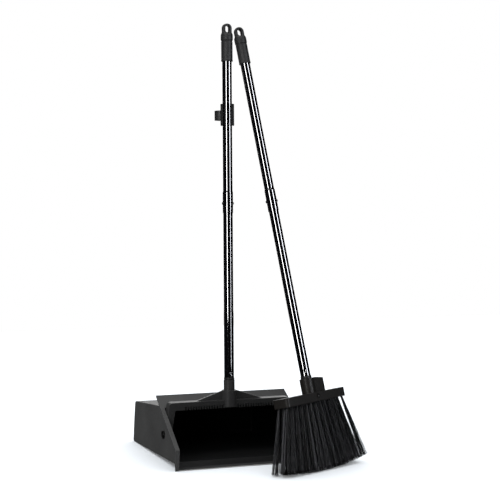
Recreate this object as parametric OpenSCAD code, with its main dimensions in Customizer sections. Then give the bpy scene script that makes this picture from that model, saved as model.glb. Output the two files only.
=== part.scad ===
/* [Pan] */
// Half width of the pan outside its side walls, mm
wall_x = 154.5; // [154:0.5:155]
// Thickness of the side walls, floor and roof, mm
wall_t = 3; // [2.6:0.1:3.2]
// Inward lean of each side wall over the rear height, mm
wall_draft = 3.9; // [3:0.1:4.5]
// Distance from the front lip to the rear wall, mm
pan_depth = 377.5; // [372:0.5:382]
// Height of the rear wall, mm
rear_height = 98; // [94:1:100]
// Height where the upright front rim turns into the sloping rim, mm
knee_z = 45.5; // [44:0.5:48]
// Half width of the rim at the lip, mm
rim_low_x = 160; // [159:1:162]
// Half width of the rim at the top of the flap, mm
rim_top_x = 156; // [155:0.5:157]
// Slope of the rim above the floor, degrees
rim_slope = 29.6; // [29.2:0.1:30]
// Length of the sloping rim from knee to flap edge, mm
rim_length = 192.5; // [190:0.5:195]
// Thickness of the rim plate, mm
rim_t = 3; // [2.5:0.1:3.5]
// Length of the flat strip under the lip, mm
lip_strip = 20; // [16:1:20]
// Height of the floor above the ground behind the lip, mm
side_lift = 11.6; // [10:0.2:12]

/* [Pivot] */
// Distance of the pivot behind the lip, mm
pivot_y = 116; // [114:0.5:118]
// Height of the pivot, mm
pivot_z = 59.5; // [58:0.1:61]
// Radius of the pin head that turns in the side wall, mm
pin_head_r = 8; // [7:0.5:9]
// Radius of the pin shank pressed into the yoke leg, mm
pin_shank_r = 5; // [4:0.5:5.5]
// Running clearance of the pin head in the wall, mm
pin_clear = 0.05; // [0.03:0.01:0.09]
// Radius of the cap of the pin outside the wall, mm
pin_cap_r = 9; // [8.5:0.5:9.5]
// How far the cap stands out from the wall, mm
pin_proud = 3.6; // [3:0.1:4]

/* [Yoke] */
// Half width of the yoke at its top bar, mm
yoke_x = 144.5; // [144:0.5:145]
// Height of the top of the bar, mm
bar_top = 132; // [131:1:134]
// Height of the bar, mm
bar_h = 18; // [17:1:19]
// Depth of the bar front to back, mm
bar_depth = 24; // [23:1:25]
// Wall of the bar and thickness of the comb, mm
bar_wall = 4; // [3.5:0.5:4.5]
// Number of gaps in the comb
comb_gaps = 35; // [31:2:35]
// Pitch of the comb, mm
comb_pitch = 6.2; // [6:0.1:6.2]
// Height of the comb teeth, mm
comb_h = 7.5; // [6.5:0.5:8]
// Half width of the web at the bar, mm
web_x = 78; // [74:1:80]
// Height of the web above the bar, mm
web_h = 22; // [20:1:24]

/* [Handles] */
// Outside radius of the steel tubes, mm
tube_r = 11.1; // [11:0.05:11.2]
// Wall of the steel tubes, mm
tube_t = 0.9; // [0.8:0.05:1]
// Sliding clearance between tube, bell and clip, mm
tube_clear = 0.05; // [0.03:0.01:0.08]
// Wall of the bell at the middle joint, mm
bell_t = 0.95; // [0.85:0.05:1.05]
// Length of the bell, mm
bell_len = 46; // [44:1:48]
// Length of the neck above the bell, mm
neck_len = 5; // [4:1:6]
// Backward lean of the pan handle, degrees
pan_lean = 1.1; // [1:0.1:1.3]
// Length from the pan socket to the bottom of the bell, mm
pan_bell_at = 375.6; // [370:1:380]
// Length from the pan socket to the top of the grip, mm
pan_handle_len = 802; // [798:1:808]
// Length from the broom block to the bottom of the bell, mm
broom_bell_at = 430; // [424:1:436]
// Length from the broom block to the top of the grip, mm
broom_handle_len = 854; // [848:1:858]

/* [Snap buttons] */
// Radius of the snap buttons, mm
button_r = 3.3; // [3:0.1:3.5]
// Clearance of the buttons in their holes, mm
button_clear = 0.08; // [0.05:0.01:0.1]
// How far a button stands proud of the bell, mm
button_proud = 1.6; // [1.4:0.1:1.8]
// Inward travel of a button, mm
button_travel = 2.4; // [2.2:0.1:2.6]

/* [Grips] */
// Outside radius of the grips, mm
grip_r = 13.25; // [13:0.05:13.4]
// Length of the grips, mm
grip_len = 85; // [82:1:88]
// Length of the end of the grips above the seam, mm
grip_end = 36; // [35:0.5:37]
// Radius of the band above the seam, mm
band_r = 13.8; // [13.5:0.1:13.9]
// Half width of the hanging tongue, mm
grip_top_r = 11; // [10.5:0.5:11.5]
// Length of the hanging tongue, mm
tongue_len = 19; // [18:0.5:20]
// Thickness of the hanging tongue, mm
tongue_t = 13.7; // [13:0.1:14.5]
// Width of the hang slots, mm
slot_w = 9; // [8:0.5:10]
// Length of the hang slots, mm
slot_len = 15; // [13:0.5:15]

/* [Broom clip] */
// Outside radius of the sleeve of the clip, mm
sleeve_r = 15.5; // [15:0.5:16]
// Length of the sleeve, mm
sleeve_len = 48.5; // [46:0.5:50]
// Length from the pan socket to the bottom of the sleeve, mm
sleeve_at = 573; // [570:1:576]
// Outside radius of the gripping jaw, mm
jaw_r = 13.6; // [13.4:0.1:14]
// Length of the gripping jaw, mm
jaw_len = 22; // [20:1:24]
// Distance between the sleeve axis and the jaw axis, mm
jaw_off = 27; // [27:0.5:28]
// Direction of the jaw from straight back, degrees
jaw_turn = 16; // [14:1:18]

/* [Broom] */
// Length of the broom block, mm
block_len = 190; // [187:1:193]
// Depth of the broom block, mm
block_depth = 45; // [44:1:47]
// Height of the broom block, mm
block_h = 20; // [19:1:21]
// Radius of the upright corners of the block, mm
block_corner = 8; // [7:1:9]
// Offset of the straight socket from the middle of the block, mm
socket_off = 1; // [0:0.5:2]
// Outside radius of the straight socket, mm
socket_r = 15.5; // [15:0.5:16]
// Height of the sockets above the block, mm
socket_h = 33; // [32:1:34]
// Tilt of the angled socket, degrees
angled_tilt = 8; // [7:1:9]
// Number of tufts in a row
tufts = 13; // [12:1:13]
// Distance between the rows of tufts, mm
row_gap = 13.6; // [13.2:0.2:14]
// Length of the longest tufts, mm
tuft_len = 147.8; // [144:0.2:150]
// Splay of the left end tufts, degrees
splay_left = 18; // [17:0.5:18.5]
// Splay of the right end tufts, degrees
splay_right = 13.5; // [12:0.5:14]

/* [Hidden] */
$fn = 64;
eps = 0.01;
black = [0.07, 0.07, 0.08];
steel = [0.03, 0.03, 0.035];
grey = [0.16, 0.16, 0.17];
bright = [0.6, 0.6, 0.62];
// pan profile
rear_r = 10;
roof_r = 8;
rear_cut = 3;
rear_cut_in = 1.2;
rear_lean = 5.8;
wall_in = wall_x - wall_t;
draft_angle = atan(wall_draft / rear_height);
rim_bite = 1.5;
foot_step = 0.3;
foot_drop = 1;
ramp_y = lip_strip + 6;
rear_flat = 6;
rear_skim = 0.4;
lip_t = 1.6;
lip_inner_y = lip_strip - 2;
lip_inner_z = 3.2;
over = 5;
above = 150;
below = 20;
roof_slope = 5.5;
roof_y = pan_depth - rear_lean - roof_r;
rim_cut = tan(rim_slope);
roof_front_y = (rear_height - knee_z + tan(roof_slope) * roof_y) / (rim_cut + tan(roof_slope));
roof_front_z = knee_z + rim_cut * roof_front_y;
flap_low = roof_front_y / cos(rim_slope) - 5;
// yoke
bar_front = 98;
bar_mid = bar_front + bar_depth / 2;
bar_low = bar_top - bar_h;
yoke_back = 160;
yoke_span = 90;
leg_top_in = 130;
leg_gap = 0.6;
leg_t = 9;
leg_low_out = wall_in - draft_at(pivot_z) - leg_gap;
leg_low_in = leg_low_out - leg_t;
leg_end_r = 13;
leg_foot = pivot_z - leg_end_r - 1;
pin_wall = wall_x - draft_at(pivot_z);
pin_cap_gap = 0.7;
pin_face = pin_wall + pin_proud;
pin_groove_out = 7.4;
pin_groove_in = 3.8;
pin_groove_deep = 2;
yoke_corner = 8;
handle_y = 110;
handle_z = 178;
boss_r = 17;
boss_h = 24.5;
socket_out = 12.5;
plug_r = 9.5;
plug_len = 45;
web_t = 5;
// handles
tube_in = tube_r - tube_t;
bell_r = tube_r + tube_clear + bell_t;
bell_in = tube_r + tube_clear;
overlap = bell_len - 3;
button_up = 22;
collar_r = 12.2;
collar_h = 4;
spigot_len = 36;
dimple_up = 11;
dimple_r = 3;
dimple_deep = 0.7;
slot_drop = 12;
grip_band = 10;
grip_shoulder = 7;
grip_dome = 4;
bore_top = 8;
mouth_half = 9.8;
mouth_turn = 20;
jaw_neck = 12;
jaw_open = 18;
button_root = 6;
button_edge = 0.8;
spring_r = 2;
wire_r = 0.35;
spring_turns = 4;
turn_steps = 8;
// broom
broom_at = [132.7, -50.8, 141.2];
broom_turn = 24.7;
broom_back = 13.5;
broom_roll = 1.9;
handle_twist = 27;
tip_r = 9;
tip_len = 28;
broom_collar_h = 5.6;
angled_x = 36;
angled_r = 12.5;
angled_hole_r = 9;
angled_hole_len = 24;
tuft_r = 3;
tuft_hole_r = 3.1;
tuft_end_r = 6.4;
tuft_root_r = 2.6;
tuft_root = 1;
tip_clear = 2.6;
tuft_set = 11;
hole_deep = 12;
tuft_curve = 0.00066;
row_span = block_len - 16;
row_splay = 1.4;
staple_w = 5.2;
staple_t = 1;
staple_h = 0.9;
pan_dimple_turn = 8;
broom_dimple_turn = -18;

function draft_at(z) = wall_draft * z / rear_height;

module place() {
    translate([0, -lip_strip / 2, 0]) children();
}

module along_x(half) {
    translate([-half, 0, 0]) rotate([90, 0, 90]) linear_extrude(2 * half) children();
}

module on_pan_handle(up = 0) {
    place() translate([0, handle_y, handle_z]) rotate([-pan_lean, 0, 0]) translate([0, 0, up])
        children();
}

module on_broom() {
    place() translate(broom_at) rotate([0, 0, broom_turn]) rotate([-broom_back, 0, 0])
        rotate([0, -broom_roll, 0]) children();
}

module on_broom_handle(up = 0) {
    on_broom() translate([socket_off, 0, up]) rotate([0, 0, -handle_twist]) children();
}

// ---- pan ----
module rear_rounds(half, cut) {
    translate([-half, pan_depth - rear_r, rear_r]) rotate([0, 90, 0])
        cylinder(r = rear_r - cut, h = 2 * half);
    translate([-half, roof_y, rear_height - roof_r]) rotate([0, 90, 0])
        cylinder(r = roof_r - cut, h = 2 * half);
}

module bin_block() {
    along_x(wall_x) polygon([
        [0, 0], [lip_strip, 0], [ramp_y, side_lift], [pan_depth - rear_r - rear_flat, rear_skim],
        [pan_depth - rear_r, 0], [pan_depth, rear_r], [pan_depth - rear_lean, rear_height - roof_r],
        [roof_y + roof_r * sin(roof_slope), rear_height - roof_r + roof_r * cos(roof_slope)],
        [roof_front_y, roof_front_z], [0, knee_z]
    ]);
    rear_rounds(wall_x, 0);
}

module bin_hollow() {
    turn_r = roof_r - wall_t;
    along_x(wall_x) polygon([
        [-over, lip_t], [0, lip_t], [lip_inner_y, lip_inner_z], [ramp_y + 2, side_lift + wall_t],
        [pan_depth - rear_r, wall_t], [pan_depth - wall_t, rear_r],
        [pan_depth - rear_lean - wall_t, rear_height - roof_r],
        [roof_y + turn_r * sin(roof_slope), rear_height - roof_r + turn_r * cos(roof_slope)],
        [roof_front_y, roof_front_z - wall_t], [-over, roof_front_z + 9]
    ]);
    rear_rounds(wall_x, wall_t);
}

// the outline from above, with both sides leaning in and the rear corners cut off
module plan(half, deep, cut) {
    intersection_for(s = [-1, 1]) translate([s * half, 0, 0]) rotate([0, -s * draft_angle, 0])
        translate([0, 0, -below]) linear_extrude(above + below) polygon([
            [0, -below], [0, deep - cut], [-s * cut, deep], [-s * 3 * half, deep], [-s * 3 * half, -below]
        ]);
}

module rim() {
    inner_low = wall_in + rim_bite - draft_at(knee_z);
    inner_high = wall_in + rim_bite - draft_at(knee_z + flap_low * sin(rim_slope));
    translate([0, 0, knee_z]) rotate([rim_slope, 0, 0]) translate([0, 0, -rim_t]) linear_extrude(rim_t)
        difference() {
            polygon([
                [foot_step - rim_low_x, 0], [rim_low_x - foot_step, 0], [rim_top_x, rim_length],
                [-rim_top_x, rim_length]
            ]);
            polygon([
                [-inner_low, -eps], [inner_low, -eps], [inner_high, flap_low], [-inner_high, flap_low]
            ]);
        }
}

module feet() {
    for (s = [-1, 1]) translate([0, rim_t, 0]) rotate([90, 0, 0]) linear_extrude(rim_t) polygon([
        [s * (wall_in + rim_bite), 0], [s * rim_low_x, 0], [s * rim_low_x, knee_z - foot_drop],
        [s * (wall_in + rim_bite - draft_at(knee_z)), knee_z - foot_drop]
    ]);
}

module pan_bin() {
    color(black) place() difference() {
        union() {
            difference() {
                intersection() {
                    bin_block();
                    plan(wall_x, pan_depth, rear_cut);
                }
                intersection() {
                    bin_hollow();
                    plan(wall_in, pan_depth - wall_t, rear_cut_in);
                }
            }
            rim();
            feet();
        }
        translate([-wall_x - over, pivot_y, pivot_z]) rotate([0, 90, 0])
            cylinder(r = pin_head_r + pin_clear, h = 2 * (wall_x + over));
    }
}

// ---- yoke ----
module yoke_front() {
    translate([0, yoke_back, 0]) rotate([90, 0, 0]) linear_extrude(yoke_span) polygon([
        [-yoke_x, bar_top - yoke_corner], [-yoke_x + yoke_corner, bar_top],
        [yoke_x - yoke_corner, bar_top], [yoke_x, bar_top - yoke_corner],
        [leg_low_out, pivot_z], [leg_low_out, leg_foot], [leg_low_in, leg_foot],
        [leg_top_in, bar_low], [-leg_top_in, bar_low], [-leg_low_in, leg_foot],
        [-leg_low_out, leg_foot], [-leg_low_out, pivot_z]
    ]);
    for (s = [-1, 1]) translate([s * (yoke_x - yoke_corner), yoke_back, bar_top - yoke_corner])
        rotate([90, 0, 0]) cylinder(r = yoke_corner, h = yoke_span);
}

module yoke_side() {
    along_x(wall_in) polygon([
        [bar_front, bar_top + 1], [bar_front + bar_depth, bar_top + 1],
        [pivot_y + leg_end_r, pivot_z], [pivot_y - leg_end_r, pivot_z]
    ]);
    translate([-wall_in, pivot_y, pivot_z]) rotate([0, 90, 0]) cylinder(r = leg_end_r, h = 2 * wall_in);
}

module comb() {
    for (i = [0 : comb_gaps - 1]) {
        translate([(i - (comb_gaps - 1) / 2) * comb_pitch - comb_pitch / 4, bar_front - 1, bar_low - 1])
            cube([comb_pitch / 2, bar_wall + 1.5, comb_h + 1]);
    }
}

module web() {
    translate([0, bar_mid + web_t / 2, 0]) rotate([90, 0, 0]) linear_extrude(web_t) polygon([
        [-web_x, bar_top - 1], [web_x, bar_top - 1], [web_x, bar_top], [boss_r - 4, bar_top + web_h],
        [4 - boss_r, bar_top + web_h], [-web_x, bar_top]
    ]);
}

module yoke() {
    color(black) difference() {
        union() {
            place() difference() {
                intersection() {
                    yoke_front();
                    yoke_side();
                }
                translate([-leg_top_in + 2, bar_front + bar_wall, bar_low - 1])
                    cube([2 * leg_top_in - 4, bar_depth - 2 * bar_wall, bar_h - bar_wall]);
                comb();
            }
            place() web();
            on_pan_handle(bar_low - handle_z + 2) cylinder(r = boss_r, h = handle_z - bar_low - 2 - boss_h);
            on_pan_handle(-boss_h - 1) cylinder(r = socket_out, h = boss_h);
        }
        on_pan_handle(-plug_len - 2) cylinder(r = plug_r, h = plug_len + 3);
        place() translate([-wall_in, pivot_y, pivot_z]) rotate([0, 90, 0])
            cylinder(r = pin_shank_r, h = 2 * wall_in);
    }
}

module pivot_pin(side) {
    color(black) place() translate([0, pivot_y, pivot_z]) rotate([0, side * 90, 0]) difference() {
        union() {
            translate([0, 0, leg_low_in]) cylinder(r = pin_shank_r, h = leg_t + 0.3);
            translate([0, 0, leg_low_out + 0.2])
                cylinder(r = pin_head_r, h = pin_wall + pin_cap_gap - leg_low_out);
            translate([0, 0, pin_wall + pin_cap_gap]) cylinder(r = pin_cap_r, h = pin_proud - pin_cap_gap);
        }
        translate([0, 0, pin_face - pin_groove_deep]) difference() {
            cylinder(r = pin_groove_out, h = pin_groove_deep + 1);
            cylinder(r = pin_groove_in, h = pin_groove_deep + 1);
        }
    }
}

module pivot_pin_left() {
    pivot_pin(-1);
}

module pivot_pin_right() {
    pivot_pin(1);
}

// ---- handles ----
module tube_tip(r, len, collar) {
    translate([0, 0, -len]) cylinder(r = r, h = len + eps);
    cylinder(r = collar_r, h = collar);
    translate([0, 0, collar - eps]) cylinder(r = tube_in, h = spigot_len);
}

module button_holes(up) {
    translate([-20, 0, up]) rotate([0, 90, 0]) cylinder(r = button_r + button_clear, h = 40);
}

module lower_tube(from, bell_at, turn) {
    difference() {
        translate([0, 0, from]) cylinder(r = tube_r, h = bell_at + overlap - from);
        translate([0, 0, from - 1]) cylinder(r = tube_in, h = bell_at + overlap - from + 2);
        button_holes(bell_at + button_up);
        rotate([0, 0, turn]) translate([0, -tube_r - dimple_r + dimple_deep, from + dimple_up])
            sphere(r = dimple_r);
    }
}

module upper_tube(bell_at, end) {
    difference() {
        union() {
            translate([0, 0, bell_at]) cylinder(r = bell_r, h = bell_len);
            translate([0, 0, bell_at + bell_len]) cylinder(r1 = bell_r, r2 = tube_r, h = neck_len);
            translate([0, 0, bell_at + bell_len]) cylinder(r = tube_r, h = end - bell_at - bell_len);
        }
        translate([0, 0, bell_at - 1]) cylinder(r = bell_in, h = bell_len);
        translate([0, 0, bell_at]) cylinder(r = tube_in, h = end - bell_at + 1);
        button_holes(bell_at + button_up);
    }
}

module snap_button(up, side) {
    face = bell_r + button_proud;
    translate([0, 0, up]) rotate([0, side * 90, 0]) difference() {
        union() {
            translate([0, 0, button_root]) cylinder(r = button_r, h = face - button_root - button_edge);
            translate([0, 0, face - button_edge])
                cylinder(r1 = button_r, r2 = button_r - 1, h = button_edge);
            translate([0, 0, button_root]) cylinder(r = button_r + 1, h = 1.5);
        }
        translate([0, 0, 5]) cylinder(r = spring_r + wire_r + 0.25, h = 7.2);
    }
}

module spring(up) {
    span = 9.4;
    total = spring_turns * turn_steps;
    translate([0, 0, up]) rotate([0, 90, 0]) for (i = [0 : total - 1]) hull() {
        for (j = [i, i + 1]) rotate([0, 0, j * 360 / turn_steps])
            translate([spring_r, 0, -span + 2 * span * j / total]) sphere(r = wire_r, $fn = 6);
    }
}

module grip(end) {
    shoulder = end - tongue_len - grip_shoulder;
    difference() {
        union() {
            translate([0, 0, end - grip_len]) cylinder(r = grip_r, h = grip_len - grip_end + eps);
            translate([0, 0, end - grip_end]) cylinder(r = band_r, h = grip_band);
            translate([0, 0, shoulder]) cylinder(r1 = band_r, r2 = grip_top_r, h = grip_shoulder);
            translate([0, 0, end - tongue_len]) cylinder(r = grip_top_r, h = tongue_len - grip_dome);
            translate([0, 0, end - grip_dome])
                cylinder(r1 = grip_top_r, r2 = grip_top_r - 3, h = grip_dome);
        }
        translate([0, 0, end - grip_len - 1]) cylinder(r = tube_r, h = grip_len - grip_end + bore_top);
        for (s = [-1, 1]) translate([-below, s * (tongue_t + below) / 2 - below / 2, end - tongue_len])
            cube([2 * below, below, tongue_len + 1]);
        for (k = [-1, 1]) translate([0, below, end - slot_drop + k * (slot_len - slot_w) / 2])
            rotate([90, 0, 0]) cylinder(r = slot_w / 2, h = 2 * below);
        translate([-slot_w / 2, -below, end - slot_drop - (slot_len - slot_w) / 2])
            cube([slot_w, 2 * below, slot_len - slot_w]);
    }
}

module pan_tube_tip() {
    color(black) on_pan_handle() tube_tip(plug_r, plug_len, collar_h);
}

module pan_lower_tube() {
    color(steel) on_pan_handle() lower_tube(collar_h, pan_bell_at, pan_dimple_turn);
}

module pan_upper_tube() {
    color(steel) on_pan_handle() upper_tube(pan_bell_at, pan_handle_len - grip_end + bore_top - 2);
}

module pan_button_left() {
    color(bright) on_pan_handle() snap_button(pan_bell_at + button_up, -1);
}

module pan_button_right() {
    color(bright) on_pan_handle() snap_button(pan_bell_at + button_up, 1);
}

module pan_button_spring() {
    color(bright) on_pan_handle() spring(pan_bell_at + button_up);
}

module pan_grip() {
    color(grey) on_pan_handle() grip(pan_handle_len);
}

// ---- clip ----
module broom_clip() {
    color(black) on_pan_handle(sleeve_at) difference() {
        union() {
            cylinder(r = sleeve_r, h = sleeve_len);
            translate([0, 0, (sleeve_len - jaw_len) / 2]) rotate([0, 0, jaw_turn]) {
                translate([0, jaw_off, 0]) cylinder(r = jaw_r, h = jaw_len);
                translate([-jaw_neck / 2, 0, 0]) cube([jaw_neck, jaw_off, jaw_len]);
            }
        }
        translate([0, 0, -1]) cylinder(r = tube_r + tube_clear, h = sleeve_len + 2);
        rotate([0, 0, -mouth_turn]) translate([-mouth_half, -2 * sleeve_r, -1])
            cube([2 * mouth_half, 2 * sleeve_r, sleeve_len + 2]);
        rotate([0, 0, jaw_turn]) translate([0, jaw_off, -1]) {
            cylinder(r = tube_r, h = sleeve_len + 2);
            translate([-jaw_open / 2, 0, 0]) cube([jaw_open, 2 * jaw_r, sleeve_len + 2]);
        }
    }
}

// ---- broom ----
module block_body() {
    translate([-block_len / 2 + block_corner, -block_depth / 2, 0])
        cube([block_len - 2 * block_corner, block_depth, block_h]);
    translate([-block_len / 2, -block_depth / 2 + block_corner, 0])
        cube([block_len, block_depth - 2 * block_corner, block_h]);
    for (a = [-1, 1], b = [-1, 1])
        translate([a * (block_len / 2 - block_corner), b * (block_depth / 2 - block_corner), 0])
            cylinder(r = block_corner, h = block_h);
}

module sockets() {
    translate([socket_off, 0, block_h - 1]) cylinder(r = socket_r, h = socket_h + 1);
    difference() {
        union() {
            translate([angled_x, 0, block_h - 1]) cylinder(r = angled_r, h = socket_h + 1);
            translate([socket_off, -angled_r, block_h - 1])
                cube([angled_x - socket_off, 2 * angled_r, socket_h + 1]);
        }
        translate([socket_off + socket_r, 0, block_h + socket_h]) rotate([0, angled_tilt, 0])
            translate([-angled_x, -angled_x, 0]) cube([2 * angled_x, 2 * angled_x, angled_x]);
    }
}

function tuft_x(i) = (i / (tufts - 1) - 0.5) * row_span;
function tuft_a(x) = x < 0 ? splay_left * 2 * x / row_span : splay_right * 2 * x / row_span;
function tip_x(x, a) = x + tuft_len * sin(a);
function tip_y(y, back) = y + tuft_len * sin(back);
function floor_depth(x, y) = (broom_at[2] - tip_clear + x * cos(broom_back) * sin(broom_roll)
    - y * sin(broom_back)) / (cos(broom_back) * cos(broom_roll));
function tuft_l(x, y, a, back) = min(tuft_len - tuft_curve * pow(tip_x(x, a), 2),
    floor_depth(tip_x(x, a), tip_y(y, back))) / (cos(a) * cos(back));

module row_holes(y, n, shift) {
    for (i = [0 : n - 1]) translate([tuft_x(i + shift), y, -1])
        cylinder(r = tuft_hole_r, h = hole_deep + 1, $fn = 24);
}

module row(y, n, shift, back) {
    for (i = [0 : n - 1]) {
        x = tuft_x(i + shift);
        a = tuft_a(x);
        translate([x, y, 0]) {
            cylinder(r = tuft_r, h = tuft_set, $fn = 24);
            rotate([back, -a, 0]) translate([0, 0, -tuft_l(x, y, a, back)])
                cylinder(r1 = tuft_end_r, r2 = tuft_root_r, h = tuft_l(x, y, a, back) + tuft_root,
                    $fn = 24);
        }
    }
}

module row_staples(y, n, shift) {
    for (i = [0 : n - 1]) translate([tuft_x(i + shift) - staple_w / 2, y - staple_t / 2, tuft_set])
        cube([staple_w, staple_t, staple_h]);
}

module broom_block() {
    color(black) on_broom() difference() {
        union() {
            block_body();
            sockets();
        }
        translate([socket_off, 0, block_h + socket_h - tip_len - 1]) cylinder(r = tip_r, h = tip_len + 2);
        translate([angled_x - 1, 0, block_h + socket_h - 4]) rotate([0, angled_tilt, 0])
            translate([0, 0, -angled_hole_len]) cylinder(r = angled_hole_r, h = angled_hole_len + 10);
        row_holes(-row_gap, tufts, 0);
        row_holes(0, tufts - 1, 0.5);
        row_holes(row_gap, tufts, 0);
    }
}

module tufts_front() {
    color(grey) on_broom() row(-row_gap, tufts, 0, -row_splay);
}

module tufts_middle() {
    color(grey) on_broom() row(0, tufts - 1, 0.5, 0);
}

module tufts_back() {
    color(grey) on_broom() row(row_gap, tufts, 0, row_splay);
}

module broom_staples() {
    color(bright) on_broom() {
        row_staples(-row_gap, tufts, 0);
        row_staples(0, tufts - 1, 0.5);
        row_staples(row_gap, tufts, 0);
    }
}

module broom_tube_tip() {
    color(black) on_broom_handle(block_h + socket_h) tube_tip(tip_r, tip_len, broom_collar_h);
}

module broom_lower_tube() {
    color(steel) on_broom_handle()
        lower_tube(block_h + socket_h + broom_collar_h, broom_bell_at, broom_dimple_turn);
}

module broom_upper_tube() {
    color(steel) on_broom_handle() upper_tube(broom_bell_at, broom_handle_len - grip_end + bore_top - 2);
}

module broom_button_left() {
    color(bright) on_broom_handle() snap_button(broom_bell_at + button_up, -1);
}

module broom_button_right() {
    color(bright) on_broom_handle() snap_button(broom_bell_at + button_up, 1);
}

module broom_button_spring() {
    color(bright) on_broom_handle() spring(broom_bell_at + button_up);
}

module broom_grip() {
    color(grey) on_broom_handle() grip(broom_handle_len);
}

pan_bin();
yoke();
pivot_pin_left();
pivot_pin_right();
pan_tube_tip();
pan_lower_tube();
pan_upper_tube();
pan_button_left();
pan_button_right();
pan_button_spring();
pan_grip();
broom_clip();
broom_block();
tufts_front();
tufts_middle();
tufts_back();
broom_staples();
broom_tube_tip();
broom_lower_tube();
broom_upper_tube();
broom_button_left();
broom_button_right();
broom_button_spring();
broom_grip();
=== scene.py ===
"""Lobby dust pan with a yoke handle and a leaning lobby broom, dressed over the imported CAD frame.
Lengths inside the builders are millimetres; they become metres where a mesh is made."""
import math

import bmesh
import bpy
import numpy as np
from mathutils import Matrix, Vector


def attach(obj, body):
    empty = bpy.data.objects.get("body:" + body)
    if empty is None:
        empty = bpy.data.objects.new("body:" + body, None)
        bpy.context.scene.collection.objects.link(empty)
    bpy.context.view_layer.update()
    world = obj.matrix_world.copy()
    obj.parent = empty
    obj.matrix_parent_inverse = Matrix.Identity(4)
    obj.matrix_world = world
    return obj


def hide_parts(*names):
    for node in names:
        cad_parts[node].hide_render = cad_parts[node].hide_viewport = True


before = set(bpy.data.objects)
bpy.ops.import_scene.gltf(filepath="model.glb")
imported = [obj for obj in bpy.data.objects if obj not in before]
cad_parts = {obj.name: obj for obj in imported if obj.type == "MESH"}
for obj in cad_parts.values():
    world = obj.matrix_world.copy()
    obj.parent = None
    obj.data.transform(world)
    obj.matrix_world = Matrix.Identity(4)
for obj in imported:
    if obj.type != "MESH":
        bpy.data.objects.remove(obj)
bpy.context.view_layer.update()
MM = 0.001
rng = np.random.default_rng(20)


# ---------------------------------------------------------------- frames and sizes, as in the CAD
def shift(x, y, z):
    return Matrix.Translation((x, y, z))


def turn(deg, axis):
    return Matrix.Rotation(math.radians(deg), 4, axis)


PLACE = shift(0, -10, 0)
HANDLE_AT, HANDLE_LEAN = (0, 110, 178), 1.1
PAN_HANDLE = PLACE @ shift(*HANDLE_AT) @ turn(-HANDLE_LEAN, "X")
BROOM_AT = (132.7, -50.8, 141.2)
BROOM_TURN, BROOM_LEAN, BROOM_ROLL = 24.7, 13.5, 1.9
BROOM = PLACE @ shift(*BROOM_AT) @ turn(BROOM_TURN, "Z") @ turn(-BROOM_LEAN, "X") @ turn(-BROOM_ROLL, "Y")
BROOM_HANDLE = BROOM @ shift(1, 0, 0) @ turn(-27, "Z")

# tubes: radius and bore, then the swaged bell at the lower end of the upper tube
TUBE_R, TUBE_IN = 11.1, 10.2
BELL_R, BELL_IN, BELL_LEN = 12.1, 11.15, 46
NECK_LEN = 5
BUTTON_UP, BUTTON_HOLE_R = 22, 3.38
OVERLAP = BELL_LEN - 3
PAN_BELL_AT, PAN_LEN = 375.6, 802
BROOM_BELL_AT, BROOM_LEN = 430, 854
CRIMP_UP, CRIMP_HALF, CRIMP_DEPTH = 11, 7, 0.85

# end grips: sleeve, raised band, flat tongue and its hang slot
GRIP_LEN, GRIP_END = 85, 36
GRIP_BODY_R, BAND_R = 12.9, 13.75
TONGUE_R, TONGUE_LEN, TONGUE_T = 11, 19, 13.7
BORE_TOP = 8
SLOT_W, SLOT_LEN, SLOT_DROP = 9, 15, 12
TUBE_IN_GRIP = BORE_TOP - 2 - GRIP_END

# broom block and its twin sockets, tube tips
BLOCK_H, SOCKET_H = 20, 33
TIP_AT = BLOCK_H + SOCKET_H
BROOM_TIP = BROOM_HANDLE @ shift(0, 0, TIP_AT)
COLLAR_R = 12.2
RING_AT, RING_R = BROOM @ Vector((5.9, -22.5, 11.45)) * MM, 0.0041

# pivot pins: distances from the middle of the pan, along the pin
PIVOT_Y, PIVOT_Z = 116, 59.5
PIN_SHANK, PIN_HEAD, PIN_CAP = 5.0, 8.0, 9.0
PIN_ROOT, PIN_STEP, PIN_CAP_AT, PIN_FACE = 139.5, 148.7, 152.83, 155.73

# pan: side wall, its skin and draft, and where the inside begins and ends
WALL_X, WALL_SKIN, WALL_DRAFT, WALL_H = 154.5, 1.5, 3.9, 98
FLOOR_SKIN, FLOOR_TOP, ROOF_LOW = 1.0, 20, 45
BACK_FROM, BACK_IN = 300, 365.5
LIP_LOW, LIP_HIGH, LIP_HALF = 0.3, 1.7, 150

AROUND = 96


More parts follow.
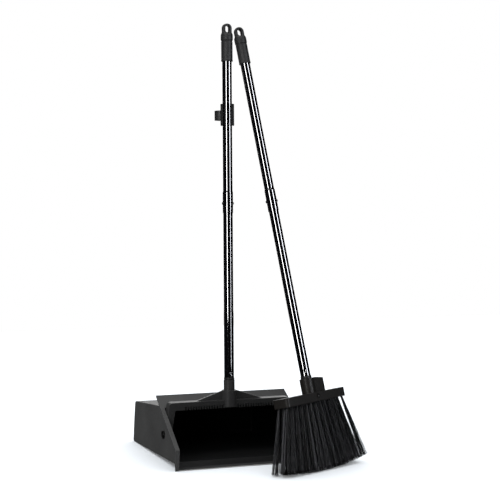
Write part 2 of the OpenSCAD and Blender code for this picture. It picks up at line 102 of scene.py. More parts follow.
# ---------------------------------------------------------------- material helpers
class Graph:
    """A small wrapper that adds and links shader nodes."""

    def __init__(self, name):
        self.mat = bpy.data.materials.new(name)
        self.mat.use_nodes = True
        self.tree = self.mat.node_tree
        self.tree.nodes.clear()
        self.out = self.add("ShaderNodeOutputMaterial")
        self.bsdf = self.add("ShaderNodeBsdfPrincipled")
        self.link(self.bsdf.outputs[0], self.out.inputs["Surface"])
        self.coords = self.add("ShaderNodeTexCoord").outputs["Object"]

    def add(self, kind, **values):
        n = self.tree.nodes.new(kind)
        for k, v in values.items():
            setattr(n, k, v)
        return n

    def link(self, a, b):
        self.tree.links.new(a, b)

    def noise(self, scale, detail=2.0, rough=0.5):
        n = self.add("ShaderNodeTexNoise")
        n.inputs["Scale"].default_value = scale
        n.inputs["Detail"].default_value = detail
        n.inputs["Roughness"].default_value = rough
        self.link(self.coords, n.inputs["Vector"])
        return n.outputs["Fac"]

    def cells(self, scale):
        n = self.add("ShaderNodeTexVoronoi", feature="SMOOTH_F1")
        n.inputs["Scale"].default_value = scale
        n.inputs["Smoothness"].default_value = 0.6
        self.link(self.coords, n.inputs["Vector"])
        return n.outputs["Distance"]

    def ramp(self, value, stops):
        """Colours by position; a single number stands for a grey."""
        n = self.add("ShaderNodeValToRGB")
        while len(n.color_ramp.elements) < len(stops):
            n.color_ramp.elements.new(0.5)
        for e, (at, colour) in zip(n.color_ramp.elements, stops):
            e.position = at
            e.color = (*colour, 1.0) if hasattr(colour, "__len__") else (colour, colour, colour, 1.0)
        self.link(value, n.inputs["Fac"])
        return n.outputs["Color"]

    def between(self, value, low, high):
        n = self.add("ShaderNodeMapRange")
        n.inputs["To Min"].default_value = low
        n.inputs["To Max"].default_value = high
        self.link(value, n.inputs["Value"])
        return n.outputs["Result"]

    def blend(self, factor, first, second):
        """Mixes the colour first with second, which is a socket or a plain colour."""
        n = self.add("ShaderNodeMix", data_type="RGBA")
        self.link(factor, n.inputs["Factor"])
        self.link(first, n.inputs["A"])
        if isinstance(second, tuple):
            n.inputs["B"].default_value = (*second, 1)
        else:
            self.link(second, n.inputs["B"])
        return n.outputs["Result"]

    def bump(self, height, strength, distance, under=None):
        n = self.add("ShaderNodeBump")
        n.inputs["Strength"].default_value = strength
        n.inputs["Distance"].default_value = distance
        self.link(height, n.inputs["Height"])
        if under is not None:
            self.link(under, n.inputs["Normal"])
        return n.outputs["Normal"]

    def finish(self, colour, roughness, normal=None, **sockets):
        b = self.bsdf
        self.link(colour, b.inputs["Base Color"])
        self.link(roughness, b.inputs["Roughness"])
        if normal is not None:
            self.link(normal, b.inputs["Normal"])
        for k, v in sockets.items():
            b.inputs[k.replace("_", " ")].default_value = v
        return self.mat


def sunk_in_shadow(g, colour, low, high):
    """Lets a colour sink to near black between two heights, in metres."""
    near_black = (0.0022, 0.0023, 0.0024)
    split = g.add("ShaderNodeSeparateXYZ")
    g.link(g.coords, split.inputs[0])
    height = g.add("ShaderNodeMapRange")
    height.inputs["From Min"].default_value = low
    height.inputs["From Max"].default_value = high
    g.link(split.outputs["Z"], height.inputs["Value"])
    return g.blend(height.outputs["Result"], colour, near_black)


def ring_mark(g, colour, normal, level, centre, radius):
    """A moulded ring: a dull groove in the bump and gloss, painted black as shade, around a middle painted
    lighter as a highlight, with a faint painted highlight just outside it. Returns the new colour and normal.
    """
    away = g.add("ShaderNodeVectorMath", operation="DISTANCE")
    g.link(g.coords, away.inputs[0])
    away.inputs[1].default_value = centre
    share = g.add("ShaderNodeMath", operation="DIVIDE")
    g.link(away.outputs["Value"], share.inputs[0])
    share.inputs[1].default_value = 2 * radius
    reach = share.outputs["Value"]
    groove = g.ramp(reach, [(0.0, 0.8), (0.3, 0.8), (0.38, 0.0), (0.5, 0.0), (0.6, 1.0), (1.0, 1.0)])
    # painted shade and highlight: black in the groove, lighter in the middle and faintly lighter just outside
    mark = g.ramp(reach, [(0.0, 0.03), (0.2, 0.02), (0.34, 0.0), (0.54, 0.0), (0.6, 0.008), (0.8, 0.005)])
    near = g.add("ShaderNodeMath", operation="LESS_THAN")
    g.link(reach, near.inputs[0])
    near.inputs[1].default_value = 0.62
    g.link(g.between(groove, 0.0, level), g.bsdf.inputs["Specular IOR Level"])
    return g.blend(near.outputs[0], colour, mark), g.bump(groove, 0.8, 0.0006, normal)


def moulded(name, dark, light, grain, depth, rough, level, fade=None, ring=None):
    """Moulded polypropylene: fine pebble grain, slow colour drift and scuffs in the gloss.
    fade is a pair of heights for sunk_in_shadow, ring a centre and a radius for ring_mark, in metres."""
    g = Graph(name)
    colour = g.ramp(g.noise(scale=9, detail=3), [(0.3, dark), (0.7, light)])
    if fade:
        colour = sunk_in_shadow(g, colour, *fade)
    gloss = g.between(g.noise(scale=160, detail=4, rough=0.65), *rough)
    fine = g.bump(g.cells(grain), 0.55, depth)
    normal = g.bump(g.noise(grain * 0.45), 0.3, depth, fine)
    if ring:
        colour, normal = ring_mark(g, colour, normal, level, *ring)
        return g.finish(colour, gloss, normal)
    return g.finish(colour, gloss, normal, Specular_IOR_Level=level)


def lacquer():
    """Glossy black powder coat on steel tube, with a very slight orange peel."""
    g = Graph("tube_lacquer")
    colour = g.ramp(g.noise(scale=14), [(0.3, (0.0004, 0.0004, 0.0006)), (0.7, (0.0012, 0.0012, 0.0015))])
    rough = g.between(g.noise(scale=60, detail=3), 0.06, 0.09)
    normal = g.bump(g.noise(scale=40, detail=1), 0.01, 0.0001)
    return g.finish(colour, rough, normal, Specular_IOR_Level=1.0, Coat_Weight=1.0, Coat_Roughness=0.06,
                    Coat_IOR=1.6)


def fibre():
    """Extruded bristle: satin black, with a lighter cast on some of the strands."""
    g = Graph("bristle_fibre")
    strand = g.add("ShaderNodeAttribute", attribute_name="strand")
    colour = g.ramp(strand.outputs["Fac"], [(0.0, (0.0004, 0.0004, 0.0005)), (0.55, (0.0025, 0.0025, 0.0027)),
                                            (1.0, (0.045, 0.045, 0.049))])
    rough = g.between(g.noise(scale=300), 0.28, 0.42)
    return g.finish(colour, rough, g.bump(g.noise(scale=900), 0.15, 0.0002), Specular_IOR_Level=0.2)


def plated():
    """Bright zinc wire with fine drawing marks."""
    g = Graph("plated_wire")
    colour = g.ramp(g.noise(scale=700), [(0.3, (0.42, 0.42, 0.43)), (0.7, (0.62, 0.62, 0.63))])
    rough = g.between(g.noise(scale=1200, detail=3), 0.22, 0.4)
    return g.finish(colour, rough, g.bump(g.noise(scale=1500), 0.2, 0.0001), Metallic=1.0)


PAN_PLASTIC = moulded("pan_plastic", (0.016, 0.016, 0.016), (0.024, 0.024, 0.0236),
                      grain=620, depth=0.00035, rough=(0.44, 0.58), level=0.2)
# Painted shade: a copy of the pan plastic for the faces inside the bin, a little lighter low down and sunk to
# near black from 1.2 to 4.2 mm up, where shade fills the bin
PAN_INSIDE = moulded("pan_plastic_inside", (0.024, 0.024, 0.0245), (0.03, 0.03, 0.03),
                     grain=620, depth=0.00035, rough=(0.5, 0.6), level=0.1, fade=(0.0012, 0.0042))
# Painted highlight: a much lighter grey copy of the pan plastic for the front edge of the lip, standing in
# for the light that edge catches
PAN_LIP_HIGHLIGHT = moulded("pan_lip_painted_highlight", (0.10, 0.10, 0.10), (0.34, 0.34, 0.33),
                  grain=620, depth=0.0002, rough=(0.5, 0.6), level=0.2)
YOKE_PLASTIC = moulded("yoke_plastic", (0.0095, 0.0095, 0.0095), (0.013, 0.013, 0.0127),
                       grain=620, depth=0.0002, rough=(0.3, 0.4), level=0.12)
BLOCK_PLASTIC = moulded("block_plastic", (0.0042, 0.0037, 0.0033), (0.0062, 0.0056, 0.005),
                        grain=500, depth=0.0003, rough=(0.34, 0.46), level=0.12, ring=(RING_AT, RING_R))
PIN_PLASTIC = moulded("pin_plastic", (0.0015, 0.0015, 0.0015), (0.0025, 0.0025, 0.0025),
                      grain=700, depth=0.0002, rough=(0.36, 0.5), level=0.15)
CLIP_PLASTIC = moulded("clip_plastic", (0.004, 0.004, 0.004), (0.006, 0.006, 0.006),
                       grain=700, depth=0.0002, rough=(0.36, 0.5), level=0.2)
GRIP_RUBBER = moulded("grip_rubber", (0.0045, 0.0045, 0.0047), (0.007, 0.007, 0.0072),
                      grain=900, depth=0.0003, rough=(0.44, 0.54), level=0.2)
BUTTON_METAL = moulded("button_black", (0.006, 0.006, 0.0065), (0.01, 0.01, 0.011),
                       grain=1200, depth=0.0001, rough=(0.25, 0.35), level=0.3)
LACQUER = lacquer()
FIBRE = fibre()
WIRE = plated()


# ---------------------------------------------------------------- mesh helpers
def settle(obj, angle=38.0):
    """Smooth shading that stays crisp at real edges, with flat faces kept flat."""
    for p in obj.data.polygons:
        p.use_smooth = True
    obj.data.set_sharp_from_angle(angle=math.radians(angle))
    m = obj.modifiers.new("normals", "WEIGHTED_NORMAL")
    m.keep_sharp = True
    m.weight = 80
    return obj


def register(obj, body, slot, material, *nodes):
    obj.data.materials.clear()
    obj.data.materials.append(material)
    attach(obj, body)
    if nodes:
        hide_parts(*nodes)
    return obj


def mesh_object(name, verts, faces, matrix=Matrix.Identity(4)):
    """verts in millimetres in the frame that matrix carries into the row frame."""
    mesh = bpy.data.meshes.new(name)
    v = np.asarray(verts, float)
    m = np.array(matrix, float)
    world = (v @ m[:3, :3].T + m[:3, 3]) * MM
    mesh.from_pydata([tuple(p) for p in world], [], [tuple(f) for f in faces])
    mesh.validate()
    mesh.update()
    obj = bpy.data.objects.new(name, mesh)
    bpy.context.scene.collection.objects.link(obj)
    return obj


def faced_outwards(obj, merge=0.0):
    """Turns every face outwards, after merging the vertices that lie closer than merge, in metres."""
    bm = bmesh.new()
    bm.from_mesh(obj.data)
    if merge:
        bmesh.ops.remove_doubles(bm, verts=bm.verts, dist=merge)
    bmesh.ops.recalc_face_normals(bm, faces=bm.faces)
    bm.to_mesh(obj.data)
    bm.free()
    return obj


def circle(radius, z, count=AROUND):
    return [(radius * math.cos(2 * math.pi * k / count), radius * math.sin(2 * math.pi * k / count), z)
            for k in range(count)]


def band(i, j, count):
    """The ring of faces between the rows i and j of count vertices each."""
    return [(i * count + k, i * count + (k + 1) % count, j * count + (k + 1) % count, j * count + k)
            for k in range(count)]


def turned(profile, around=AROUND, closed=True):
    """Turns a profile of (radius, height) about Z. A closed profile makes a ring-like solid."""
    n = len(profile)
    verts = [v for r, z in profile for v in circle(r, z, around)]
    faces = [f for i in range(n if closed else n - 1) for f in band(i, (i + 1) % n, around)]
    if not closed:
        faces.append(tuple(reversed(range(around))))
        faces.append(tuple((n - 1) * around + k for k in range(around)))
    return verts, faces


def carve(obj, *cutters):
    """Cuts the cutters out of obj for good, then drops them."""
    for c in cutters:
        m = obj.modifiers.new("cut", "BOOLEAN")
        m.operation = "DIFFERENCE"
        m.solver = "EXACT"
        m.object = c
    graph = bpy.context.evaluated_depsgraph_get()
    mesh = bpy.data.meshes.new_from_object(obj.evaluated_get(graph))
    obj.modifiers.clear()
    old = obj.data
    obj.data = mesh
    bpy.data.meshes.remove(old)
    for c in cutters:
        data = c.data
        bpy.data.objects.remove(c)
        bpy.data.meshes.remove(data)
    return obj


def softened(node, name, width, angle=28.0):
    """A copy of a CAD node with its edges rounded, kept inside the node's own box."""
    same_point = 2e-6
    bm = bmesh.new()
    bm.from_mesh(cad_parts[node].data)
    bmesh.ops.remove_doubles(bm, verts=bm.verts, dist=same_point)
    bmesh.ops.dissolve_limit(bm, angle_limit=math.radians(0.6), verts=bm.verts, edges=bm.edges)
    edges = [e for e in bm.edges
             if len(e.link_faces) == 2 and e.calc_face_angle(0) >= math.radians(angle)]
    bmesh.ops.bevel(bm, geom=edges, offset=width * MM, offset_type="OFFSET", segments=3,
                    profile=0.5, affect="EDGES", clamp_overlap=False, loop_slide=True)
    bmesh.ops.remove_doubles(bm, verts=bm.verts, dist=same_point)
    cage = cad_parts[node].data.vertices
    low = [min(v.co[k] for v in cage) for k in range(3)]
    high = [max(v.co[k] for v in cage) for k in range(3)]
    for v in bm.verts:
        v.co = [min(max(v.co[k], low[k]), high[k]) for k in range(3)]
    mesh = bpy.data.meshes.new(name)
    bm.to_mesh(mesh)
    bm.free()
    obj = bpy.data.objects.new(name, mesh)
    bpy.context.scene.collection.objects.link(obj)
    return settle(obj)


# ---------------------------------------------------------------- handles
def button_hole(up, matrix):
    """A cutter straight through a tube for its two snap buttons."""
    verts, faces = turned([(BUTTON_HOLE_R, -20), (BUTTON_HOLE_R, 20)], 48, closed=False)
    return mesh_object("cutter", verts, faces, matrix @ shift(0, 0, up) @ turn(90, "Y"))


def tube_rows(start, end, dense_low, dense_high, coarse=20.0, fine=0.5):
    """Heights of the rings of a tube, close together between dense_low and dense_high."""
    rows, z = [], start
    while z < end - 1e-6:
        rows.append(z)
        z += fine if dense_low <= z < dense_high else coarse
        if rows[-1] < dense_low < z:
            z = dense_low
        if z > end:
            break
    rows.append(end)
    return rows


def unit(value):
    return min(1.0, max(0.0, value))


def crimp_sink(across, up):
    """Depth of the punched crimp: a wedge that widens upwards and stops at a steep upper edge."""
    reach = 1.0 + 2.6 * unit((up + 4.5) / 7.5)
    upper_edge = unit((3.6 - up) / 1.4)
    lower_edge = unit((up + 4.6) / 1.6)
    bowl = max(0.0, 1 - (across / reach) ** 2)
    return CRIMP_DEPTH * min(1.0, bowl * 1.4) * upper_edge * lower_edge


def lower_tube(name, start, bell_at, heading, matrix):
    """The lower steel tube with its punched crimp just above the collar."""
    end = bell_at + OVERLAP
    crimp = start + CRIMP_UP
    rows = tube_rows(start + 0.4, end - 0.4, crimp - CRIMP_HALF, crimp + CRIMP_HALF)
    outer = [(TUBE_R - 0.35, start)] + [(TUBE_R, z) for z in rows] + [(TUBE_R - 0.35, end)]
    verts, faces = turned(outer + [(TUBE_IN, end), (TUBE_IN, start)])
    towards = math.radians(heading - 90)
    moved = []
    for x, y, z in verts:
        r = math.hypot(x, y)
        if r > TUBE_R - 0.2 and abs(z - crimp) < CRIMP_HALF:
            side = (math.atan2(y, x) - towards + math.pi) % (2 * math.pi) - math.pi
            sink = crimp_sink(side * TUBE_R, z - crimp)
            x, y = x * (r - sink) / r, y * (r - sink) / r
        moved.append((x, y, z))
    obj = mesh_object(name, moved, faces, matrix)
    return settle(carve(obj, button_hole(bell_at + BUTTON_UP, matrix)))


def upper_tube(name, bell_at, end, matrix):
    """The upper steel tube, swaged out over the lower one with a rolled mouth and a soft shoulder."""
    top = bell_at + BELL_LEN
    steps = 8
    neck = []
    for k in range(steps + 1):
        t = k / steps
        ease = t * t * (3 - 2 * t)
        neck.append((BELL_R + (TUBE_R - BELL_R) * ease, top + NECK_LEN * t))
    outer = [(BELL_R - 0.3, bell_at), (BELL_R, bell_at + 0.3), (BELL_R, bell_at + 14), (BELL_R, bell_at + 30),
             (BELL_R, top - 0.5)]
    outer += neck + [(TUBE_R, top + 60), (TUBE_R, end)]
    inner = [(TUBE_IN, end), (TUBE_IN, top + NECK_LEN), (TUBE_IN, top), (BELL_IN, top), (BELL_IN, bell_at)]
    verts, faces = turned(outer + inner)
    obj = mesh_object(name, verts, faces, matrix)
    return settle(carve(obj, button_hole(bell_at + BUTTON_UP, matrix)))


def hang_slot(depth, up, matrix, flare=1.0, arc=14):
    """A slot cutter along Y whose ends open out, so that the slot's rim comes out rounded."""
    rim = [(2.4, 0.0), (1.0, flare * 0.42), (-0.2, flare), (-8, flare + 2.6)]
    stations = [(inset - depth, extra) for inset, extra in reversed(rim)]
    stations += [(depth - inset, extra) for inset, extra in rim]
    straight = (SLOT_LEN - SLOT_W) / 2
    ring = 2 * (arc + 1)
    verts = []
    for y, extra in stations:
        r = SLOT_W / 2 + extra
        for half in (1, -1):
            for k in range(arc + 1):
                a = math.pi * k / arc + (0 if half > 0 else math.pi)
                verts.append((r * math.cos(a), y, half * straight + r * math.sin(a)))
    faces = [f for s in range(len(stations) - 1) for f in band(s, s + 1, ring)]
    faces.append(tuple(reversed(range(ring))))
    faces.append(tuple((len(stations) - 1) * ring + k for k in range(ring)))
    return faced_outwards(mesh_object("cutter", verts, faces, matrix @ shift(0, 0, up)))


def grip_rings(end):
    """Rings of an end grip, each a height, a half width, a half thickness and a squareness."""
    low = end - GRIP_LEN
    seam = end - GRIP_END
    neck = end - TONGUE_LEN
    half = TONGUE_T / 2
    body, band_r = GRIP_BODY_R, BAND_R
    shoulder_r = band_r - 0.1
    rim = [(low, body - 0.9), (low + 0.3, body - 0.2), (low + 1.2, body + 0.35), (low + 3.0, body + 0.35),
           (low + 3.8, body - 0.1), (low + 5.0, body)]
    crease = [(seam - 18, body), (seam - 4.4, body), (seam - 3.6, body - 0.75), (seam - 2.6, body - 0.8),
              (seam - 2.0, body + 0.2), (seam - 0.6, band_r - 0.15)]
    raised = [(seam + 1.2, band_r), (seam + 6, band_r), (seam + 10, shoulder_r)]
    rings = [(z, r, r, 2) for z, r in rim + crease + raised]
    shoulder = neck - (seam + 10)
    for k in range(1, 9):
        t = k / 8
        ease = t * t * (3 - 2 * t)
        rings.append((seam + 10 + shoulder * t, shoulder_r + (TONGUE_R - BAND_R + 0.1) * ease,
                      shoulder_r + (half + 1.6 - BAND_R + 0.1) * ease ** 0.8, 2 + 1.2 * ease))
    rings.append((neck + 0.8, TONGUE_R, half, 3.6))
    rings.append((neck + 2.2, TONGUE_R, half, 4))
    arch, crown = 10.0, 1.2
    for k in range(13):
        t = math.sin(math.pi / 2 * k / 12)
        wide = crown + (TONGUE_R - crown) * math.sqrt(max(0.0, 1 - t * t))
        thick = half - 1.8 * max(0.0, (t - 0.8) / 0.2) ** 2
        rings.append((end - arch + arch * t, wide, min(thick, half), 4))
    return rings


def squared_ring(z, wide, thick, n):
    """A super-ellipse: n = 2 is round, 4 nearly a rounded rectangle."""
    ring = []
    for k in range(AROUND):
        a = 2 * math.pi * k / AROUND
        c, d = math.cos(a), math.sin(a)
        x = wide * math.copysign(abs(c) ** (2 / n), c)
        y = thick * math.copysign(abs(d) ** (2 / n), d)
        ring.append((x, y, z))
    return ring


def grip(name, end, matrix):
    """Pushed-on end grip: rolled rim, a seam under a raised band, then a flat tongue with a hang slot."""
    rings = grip_rings(end)
    count = len(rings)
    verts = [v for ring in rings for v in squared_ring(*ring)]
    verts += circle(TUBE_R, end - GRIP_END + BORE_TOP - 1) + circle(TUBE_R, end - GRIP_LEN)
    strips = [(i, i + 1) for i in range(count - 1)] + [(count, count + 1), (count + 1, 0)]
    faces = [f for i, j in strips for f in band(i, j, AROUND)]
    faces.append(tuple((count - 1) * AROUND + k for k in range(AROUND)))
    faces.append(tuple(count * AROUND + k for k in reversed(range(AROUND))))
    obj = faced_outwards(mesh_object(name, verts, faces, matrix))
    return settle(carve(obj, hang_slot(TONGUE_T / 2, end - SLOT_DROP, matrix)))


def collar(name, tip_r, tip_len, collar_h, matrix):
    """The moulded tip: plug, collar with one groove, and the spigot inside the tube."""
    r, h, edge = COLLAR_R, collar_h, 0.5
    outer = [(tip_r - 0.6, -tip_len), (tip_r, -tip_len + 0.6), (tip_r, -0.01), (r - edge, 0.0), (r, edge),
             (r, h * 0.42), (r - edge, h * 0.5), (r, h * 0.58), (r, h - edge), (r - edge, h),
             (TUBE_IN, h), (TUBE_IN, h + 35), (TUBE_IN - 1, h + 36)]
    verts, faces = turned(outer, closed=False)
    return settle(mesh_object(name, verts, faces, matrix), 50)


def tube_handle(owner, body, start, bell_at, length, heading, matrix):
    """The two tubes and the grip of one handle."""
    low = lower_tube(f"{owner}_tube_low", start, bell_at, heading, matrix)
    register(low, body, "black_tube", LACQUER, f"{owner}_lower_tube")
    high = upper_tube(f"{owner}_tube_high", bell_at, length + TUBE_IN_GRIP, matrix)
    register(high, body, "black_tube", LACQUER, f"{owner}_upper_tube")
    register(grip(f"{owner}_end_grip", length, matrix), body, "grip", GRIP_RUBBER, f"{owner}_grip")


PAN_COLLAR_H, BROOM_COLLAR_H = 4, 5.6
tube_handle("pan", "handle", PAN_COLLAR_H, PAN_BELL_AT, PAN_LEN, 8, PAN_HANDLE)
register(collar("pan_tip", 9.5, 45, PAN_COLLAR_H, PAN_HANDLE), "handle", "black_plastic", CLIP_PLASTIC,
         "pan_tube_tip")
tube_handle("broom", "broom", TIP_AT + BROOM_COLLAR_H, BROOM_BELL_AT, BROOM_LEN, -18, BROOM_HANDLE)
register(collar("broom_tip", 9, 28, BROOM_COLLAR_H, BROOM_TIP), "broom", "black_plastic", CLIP_PLASTIC,
         "broom_tube_tip")


# ---------------------------------------------------------------- pan, yoke, clip, pins, buttons
def looks_inside(c, n):
    """True for a face of the pan, given by its centre and normal, that looks into the bin."""
    wall = WALL_X - WALL_SKIN - WALL_DRAFT * c.z / WALL_H
    if abs(c.x) >= wall or c.z <= FLOOR_SKIN or c.y >= BACK_IN:
        return False
    on_side = n.x * c.x < -0.5 * abs(c.x)
    on_back = n.y < -0.9 and c.y > BACK_FROM
    on_floor = n.z > 0.3 and c.z < FLOOR_TOP
    under_roof = n.z < -0.3 and c.z > ROOF_LOW
    return on_side or on_back or on_floor or under_roof


def on_lip_edge(c, n):
    """True for the front edge of the lip, between the feet."""
    in_front = c.y < PLACE.translation.y + 1 and n.y < -0.3
    return in_front and LIP_LOW < c.z < LIP_HIGH and abs(c.x) < LIP_HALF


pan_body = register(softened("pan_bin", "pan_body", 0.6), "pan", "black_plastic", PAN_PLASTIC, "pan_bin")
pan_body.data.materials.append(PAN_INSIDE)
pan_body.data.materials.append(PAN_LIP_HIGHLIGHT)
for face in pan_body.data.polygons:
    centre = face.center / MM
    if looks_inside(centre, face.normal):
        face.material_index = 1
    # the front edge of the lip takes the painted highlight material
    if on_lip_edge(centre, face.normal):
        face.material_index = 2
register(softened("yoke", "yoke_frame", 0.5), "handle", "black_plastic", YOKE_PLASTIC, "yoke")
register(softened("broom_clip", "tube_clip", 0.6), "clip", "black_plastic", CLIP_PLASTIC, "broom_clip")
register(softened("broom_block", "block_body", 0.6), "broom", "black_plastic", BLOCK_PLASTIC, "broom_block")


def pivot_pin(name, direction):
    """A snap pin with a proud cap; a deep ring runs around its central post."""
    cap, face = PIN_CAP, PIN_FACE
    groove_out, groove_in, groove_floor = 7.3, 3.9, face - 2.0
    profile = [(0.001, PIN_ROOT), (PIN_SHANK, PIN_ROOT), (PIN_SHANK, PIN_STEP), (PIN_HEAD, PIN_STEP + 0.1),
               (PIN_HEAD, PIN_CAP_AT), (cap - 0.2, PIN_CAP_AT), (cap, PIN_CAP_AT + 0.2), (cap, face - 0.8),
               (cap - 0.3, face - 0.25), (cap - 0.8, face), (groove_out + 0.5, face),
               (groove_out + 0.2, face - 0.3), (groove_out, groove_floor), (groove_in, groove_floor),
               (groove_in - 0.2, face - 0.4), (groove_in - 0.7, face), (0.001, face)]
    verts, faces = turned(profile, 64, closed=False)
    along_the_axis = PLACE @ shift(0, PIVOT_Y, PIVOT_Z) @ turn(90 * direction, "Y")
    return settle(faced_outwards(mesh_object(name, verts, faces, along_the_axis), merge=1e-5))


for side, direction in (("left", -1), ("right", 1)):
    register(pivot_pin(f"pin_{side}", direction), "handle", "black_plastic", PIN_PLASTIC, f"pivot_pin_{side}")
for side in ("left", "right"):
    for owner in ("pan", "broom"):
        button = softened(f"{owner}_button_{side}", f"{owner}_snap_{side}", 0.25)
        register(button, f"{owner}_button_{side[0]}", "button", BUTTON_METAL, f"{owner}_button_{side}")
for node in ("pan_button_spring", "broom_button_spring", "broom_staples"):
    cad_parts[node].data.materials.clear()
    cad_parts[node].data.materials.append(WIRE)


# ---------------------------------------------------------------- bristles
TUFTS, TUFT_R = 13, 2.3
ROW_GAP, ROW_SPAN = 13.6, 190 - 16
TUFT_LEN, TUFT_CURVE, TUFT_SINK = 147.8, 0.00066, 5
FLOOR_GAP = 1.2
SPLAY_LEFT, SPLAY_RIGHT, ROW_SPLAY = 18.0, 13.5, 1.4
STRANDS, RINGS, SIDES, CLUMPS = 92, 20, 3, 11
GOLDEN_ANGLE = 2.39996
SPREAD = np.array([9.4, 5.6])
TIP_SCATTER = np.array([1.6, 0.7])
TIP_REACH = np.array([12.5, 7.0])
STRAY_SHARE, STRAY_SPREAD = 0.03, 1.35
STRAND_FACES = [f for k in range(RINGS - 1) for f in band(k + 1, k, SIDES)]
STRAND_FACES += [tuple((RINGS - 1) * SIDES + s for s in reversed(range(SIDES))), tuple(range(SIDES))]


def tuft_length(x, y, lean, back):
    """Length down to the curved trim line, or to just above the floor where that comes first."""
    tip_x = x + TUFT_LEN * math.sin(lean)
    tip_y = y + TUFT_LEN * math.sin(back)
    b, c = math.radians(BROOM_LEAN), math.radians(BROOM_ROLL)
    drop = BROOM_AT[2] - FLOOR_GAP + tip_x * math.cos(b) * math.sin(c) - tip_y * math.sin(b)
    floor = drop / (math.cos(b) * math.cos(c))
    return min(TUFT_LEN - TUFT_CURVE * tip_x ** 2, floor) / (math.cos(lean) * math.cos(back))


class Tuft:
    """A spread bundle of crimped filaments, rooted in the block at x, y."""

    def __init__(self, x, y, splay):
        lean = math.radians((SPLAY_LEFT if x < 0 else SPLAY_RIGHT) * 2 * x / ROW_SPAN)
        back = math.radians(splay)
        self.foot = np.array([x, y, 0.0])
        self.length = tuft_length(x, y, lean, back)
        level, down = math.cos(back) * math.sin(lean), math.cos(back) * math.cos(lean)
        self.along = np.array([level, math.sin(back), -down])
        self.u = np.array([math.cos(lean), 0.0, math.sin(lean)])
        self.v = np.cross(self.along, self.u)
        self.crimp = 0.18 + 0.5 * math.exp(-((x + 25) / 38) ** 2)
        self.phase = rng.uniform(0, 2 * math.pi)
        self.clump_tone = rng.uniform(0, 1, CLUMPS)

    def strand(self, m):
        """The vertices of filament m, ring by ring, and how light it is."""
        root_r = TUFT_R * math.sqrt((m + 0.5) / STRANDS)
        angle = m * GOLDEN_ANGLE + rng.uniform(-0.25, 0.25)
        root = root_r * np.array([math.cos(angle), math.sin(angle)])
        tip = root * SPREAD / TUFT_R + rng.normal(0, 1, 2) * TIP_SCATTER
        if rng.uniform(0, 1) < STRAY_SHARE:
            tip = tip * STRAY_SPREAD
        tip = np.clip(tip, -TIP_REACH, TIP_REACH)
        length = self.length - abs(rng.normal(0, 1.1))
        wave = 2 * math.pi * (length / rng.uniform(26, 34))
        phase = self.phase + rng.normal(0, 0.7)
        sway = self.crimp * rng.uniform(0.6, 1.2)
        width = rng.uniform(0.27, 0.34)
        clump = int((angle % (2 * math.pi)) / (2 * math.pi) * (CLUMPS - 0.01))
        tone = 0.75 * self.clump_tone[clump] + 0.25 * rng.uniform(0, 1)
        verts = []
        for k in range(RINGS):
            t = k / (RINGS - 1)
            spread = t ** 1.15
            off = root * (1 - spread) + tip * spread
            swing = np.array([math.sin(wave * t + phase), 0.6 * math.cos(wave * t + phase * 1.7)])
            off = off + min(1.0, t * 4) * sway * swing
            at = self.foot + self.along * (length * t - TUFT_SINK * (1 - t))
            at = at + self.u * off[0] + self.v * off[1]
            for s in range(SIDES):
                q = 2 * math.pi * s / SIDES + angle
                verts.append(at + width * (1 - 0.25 * t) * (math.cos(q) * self.u + math.sin(q) * self.v))
        return verts, tone


def bristles(name, y, count, first, splay, node):
    """One row of tufts."""
    verts, faces, shade = [], [], []
    for i in range(count):
        tuft = Tuft(((i + first) / (TUFTS - 1) - 0.5) * ROW_SPAN, y, splay)
        for m in range(STRANDS):
            points, tone = tuft.strand(m)
            faces += [tuple(len(verts) + n for n in f) for f in STRAND_FACES]
            verts += points
            shade += [tone] * len(points)
    obj = mesh_object(name, verts, faces, BROOM)
    for p in obj.data.vertices:
        p.co.z = max(p.co.z, 0.0003)
    tone = obj.data.attributes.new("strand", "FLOAT", "POINT")
    tone.data.foreach_set("value", np.array(shade, np.float32))
    for p in obj.data.polygons:
        p.use_smooth = True
    return register(obj, "broom", "bristle", FIBRE, node)


bristles("bristles_front", -ROW_GAP, TUFTS, 0, -ROW_SPLAY, "tufts_front")
bristles("bristles_middle", 0, TUFTS - 1, 0.5, 0, "tufts_middle")
bristles("bristles_back", ROW_GAP, TUFTS, 0, ROW_SPLAY, "tufts_back")


# ---------------------------------------------------------------- stage, light and camera
FLOOR_HALF = 3
FLOOR_COLOUR, FLOOR_GLOW = (0.84, 0.86, 0.88, 1), 0.06
SKY_COLOUR, SKY_REFLECTED = (0.96, 0.98, 1.0, 1), 0.004
DOME_FROM = (0.25, 0.87, 0.43)
DOME_LOW, DOME_HIGH = 0.0, 2.4
LIGHT_CENTRE = (0.06, 0.05)
CAMERA_AT, CAMERA_TO, CAMERA_LENS = (-0.934372, -2.615461, 0.580821), (-0.053105, -0.18521, 0.481478), 91.66


def white_floor():
    """A pale floor that the lamps leave alone. Returns the collection that keeps it out of their light."""
    h = FLOOR_HALF
    mesh = bpy.data.meshes.new("floor")
    mesh.from_pydata([(-h, -h, 0), (h, -h, 0), (h, h, 0), (-h, h, 0)], [], [(0, 1, 2, 3)])
    obj = bpy.data.objects.new("floor", mesh)
    bpy.context.scene.collection.objects.link(obj)
    g = Graph("floor_white")
    g.bsdf.inputs["Base Color"].default_value = FLOOR_COLOUR
    g.bsdf.inputs["Roughness"].default_value = 0.9
    g.bsdf.inputs["Specular IOR Level"].default_value = 0.0
    g.bsdf.inputs["Emission Color"].default_value = (1, 1, 1, 1)
    g.bsdf.inputs["Emission Strength"].default_value = FLOOR_GLOW
    mesh.materials.append(g.mat)
    obj.visible_glossy = False
    spared = bpy.data.collections.new("not_lit_by_lamps")
    spared.objects.link(obj)
    spared.collection_objects[0].light_linking.link_state = "EXCLUDE"
    return spared


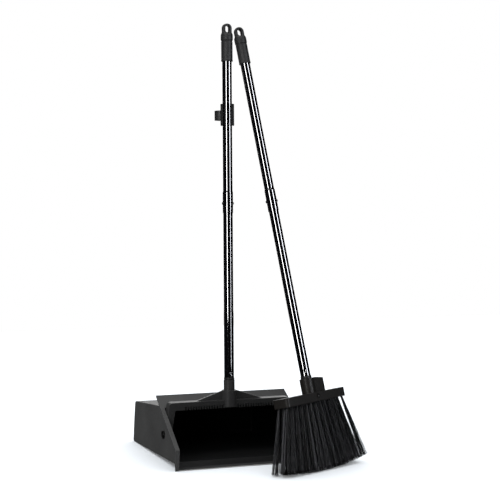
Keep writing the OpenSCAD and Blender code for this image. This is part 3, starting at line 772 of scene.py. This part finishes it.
def area_light(name, location, to, width, height, power, colour=(1, 1, 1)):
    data = bpy.data.lights.new(name, "AREA")
    data.shape = "RECTANGLE"
    data.size = width
    data.size_y = height
    data.energy = power
    data.color = colour
    obj = bpy.data.objects.new(name, data)
    bpy.context.scene.collection.objects.link(obj)
    obj.location = location
    obj.rotation_euler = (Vector(to) - Vector(location)).to_track_quat("-Z", "Y").to_euler()
    obj.visible_camera = False
    obj.light_linking.receiver_collection = SPARED
    return obj


def upright(name, azimuth, distance, low, high, width, power, colour=(1, 1, 1)):
    """An upright strip that faces the object. Azimuth 0 is in front, 90 on the right."""
    a = math.radians(azimuth)
    x, y = LIGHT_CENTRE
    z = (low + high) / 2
    location = (x + distance * math.sin(a), y - distance * math.cos(a), z)
    return area_light(name, location, (x, y, z), width, high - low, power, colour)


def only_reflected(lamp):
    lamp.visible_diffuse = False


def never_reflected(lamp):
    lamp.visible_glossy = False


def white_world():
    """White behind the object, a dome that is brighter towards the back, and little in reflections."""
    world = bpy.data.worlds.new("studio")
    bpy.context.scene.world = world
    world.use_nodes = True
    tree = world.node_tree
    tree.nodes.clear()

    def background(strength, colour=(1, 1, 1, 1)):
        n = tree.nodes.new("ShaderNodeBackground")
        n.inputs["Color"].default_value = colour
        n.inputs["Strength"].default_value = strength
        return n

    path = tree.nodes.new("ShaderNodeLightPath")
    seen, dome, dark = background(1.0), background(1.0, SKY_COLOUR), background(SKY_REFLECTED)
    coords = tree.nodes.new("ShaderNodeTexCoord")
    towards = tree.nodes.new("ShaderNodeVectorMath")
    towards.operation = "DOT_PRODUCT"
    towards.inputs[1].default_value = DOME_FROM
    level = tree.nodes.new("ShaderNodeMapRange")
    level.inputs["From Min"].default_value = -1.0
    level.inputs["From Max"].default_value = 1.0
    level.inputs["To Min"].default_value = DOME_LOW
    level.inputs["To Max"].default_value = DOME_HIGH
    first, second = tree.nodes.new("ShaderNodeMixShader"), tree.nodes.new("ShaderNodeMixShader")
    out = tree.nodes.new("ShaderNodeOutputWorld")
    tree.links.new(coords.outputs["Generated"], towards.inputs[0])
    tree.links.new(towards.outputs["Value"], level.inputs["Value"])
    tree.links.new(level.outputs["Result"], dome.inputs["Strength"])
    tree.links.new(path.outputs["Is Glossy Ray"], first.inputs[0])
    tree.links.new(dome.outputs[0], first.inputs[1])
    tree.links.new(dark.outputs[0], first.inputs[2])
    tree.links.new(path.outputs["Is Camera Ray"], second.inputs[0])
    tree.links.new(first.outputs[0], second.inputs[1])
    tree.links.new(seen.outputs[0], second.inputs[2])
    tree.links.new(second.outputs[0], out.inputs["Surface"])


def camera():
    data = bpy.data.cameras.new("camera")
    data.lens = CAMERA_LENS
    data.sensor_width = 36
    data.clip_end = 50
    obj = bpy.data.objects.new("camera", data)
    bpy.context.scene.collection.objects.link(obj)
    obj.location = CAMERA_AT
    obj.rotation_euler = (Vector(CAMERA_TO) - obj.location).to_track_quat("-Z", "Y").to_euler()
    bpy.context.scene.camera = obj


SPARED = white_floor()
white_world()
only_reflected(upright("strip_left", azimuth=-43.1, distance=2.0, low=0.2, high=1.6, width=0.3, power=34))
only_reflected(upright("strip_right", azimuth=39.3, distance=2.2, low=-0.05, high=2.3, width=0.34, power=62,
                       colour=(0.9, 0.93, 1.0)))
never_reflected(upright("key", azimuth=-75, distance=2.2, low=0.9, high=2.3, width=1.2, power=130))
never_reflected(upright("fill", azimuth=10, distance=2.6, low=1.2, high=2.4, width=2.0, power=55))
only_reflected(upright("backdrop", azimuth=159.9, distance=2.6, low=0.1, high=1.2, width=2.4, power=20))
area_light("top", location=(-0.2, -0.3, 2.6), to=(0.05, 0.1, 0), width=2.0, height=2.0, power=42)
camera()
bpy.context.scene.view_settings.view_transform = "Standard"
